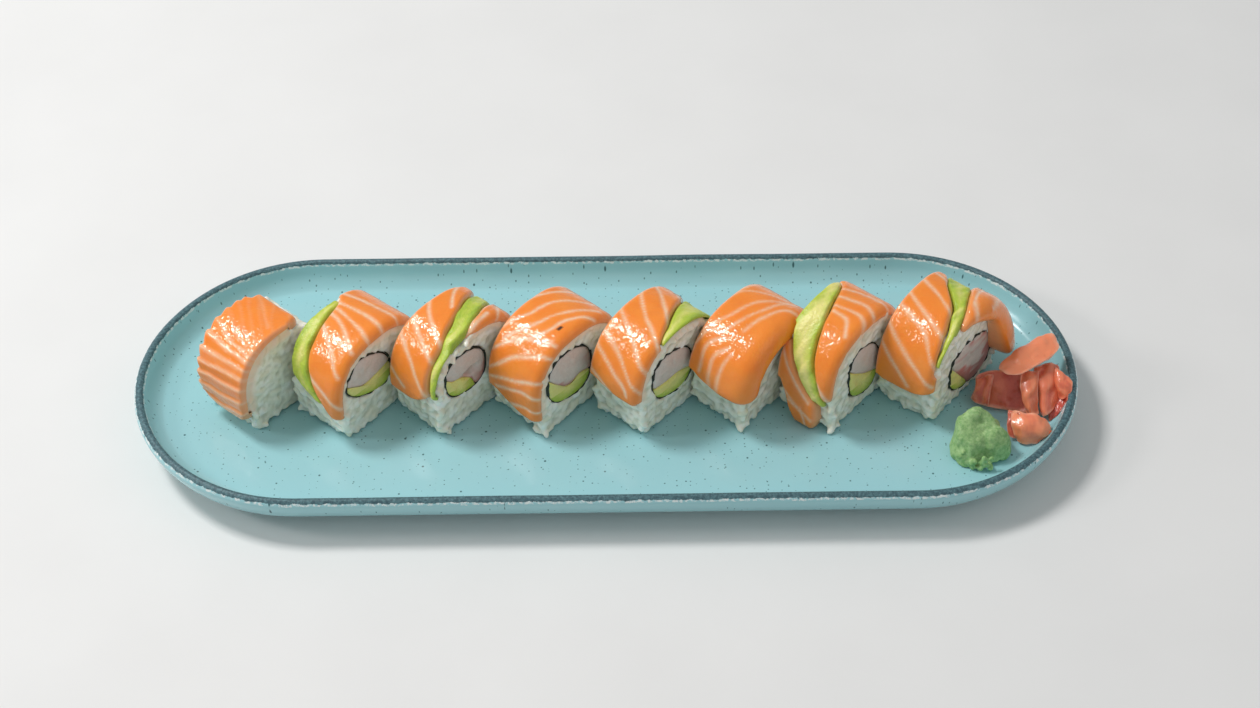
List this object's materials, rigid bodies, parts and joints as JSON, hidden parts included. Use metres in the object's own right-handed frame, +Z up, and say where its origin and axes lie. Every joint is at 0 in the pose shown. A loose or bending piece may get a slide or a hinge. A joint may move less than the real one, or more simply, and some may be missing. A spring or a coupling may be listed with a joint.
{
  "type": "uramaki roll",
  "caption": "Inside-out rice rolls topped with salmon and avocado, with pickled ginger and wasabi, on a long oval glazed plate with a low rounded rim.",
  "frame": {"origin": "centre of the plate's footprint, on the surface the plate stands on", "axes": "+X along the plate, towards the ginger; +Y towards the far long side; +Z up"},
  "size_m": [0.332, 0.123, 0.0489],
  "materials": {
    "plate": "glossy speckled glaze with a mottled rim",
    "rice": "moist cooked rice",
    "nori": "dark dried seaweed",
    "crab": "moist pressed fish, pink at the edge",
    "avocado": "smooth moist flesh, green at the edge",
    "salmon": "wet raw fish with pale fat lines",
    "ginger": "wet translucent pickled slices",
    "wasabi": "crumbly paste"
  },
  "bodies": {
    "root": {"plate": "plate", "rice_1": "rice", "rice_2": "rice", "rice_3": "rice", "rice_4": "rice", "rice_5": "rice", "rice_6": "rice", "rice_7": "rice", "rice_8": "rice", "nori_1": "nori", "nori_2": "nori", "nori_3": "nori", "nori_4": "nori", "nori_5": "nori", "nori_6": "nori", "nori_7": "nori", "nori_8": "nori", "crab_1": "crab", "crab_2": "crab", "crab_3": "crab", "crab_4": "crab", "crab_5": "crab", "crab_6": "crab", "crab_7": "crab", "crab_8": "crab", "avocado_1": "avocado", "avocado_2": "avocado", "avocado_3": "avocado", "avocado_4": "avocado", "avocado_5": "avocado", "avocado_6": "avocado", "avocado_7": "avocado", "avocado_8": "avocado", "salmon_1": "salmon", "salmon_2": "salmon", "salmon_3a": "salmon", "salmon_3b": "salmon", "salmon_4": "salmon", "salmon_5": "salmon", "salmon_6": "salmon", "salmon_7a": "salmon", "salmon_7b": "salmon", "salmon_8a": "salmon", "salmon_8b": "salmon", "topping_avocado_2": "avocado", "topping_avocado_3": "avocado", "topping_avocado_5": "avocado", "topping_avocado_7": "avocado", "topping_avocado_8": "avocado", "ginger_1": "ginger", "ginger_2": "ginger", "ginger_3": "ginger", "ginger_4": "ginger", "ginger_5": "ginger", "wasabi": "wasabi"}
  },
  "joints": []
}
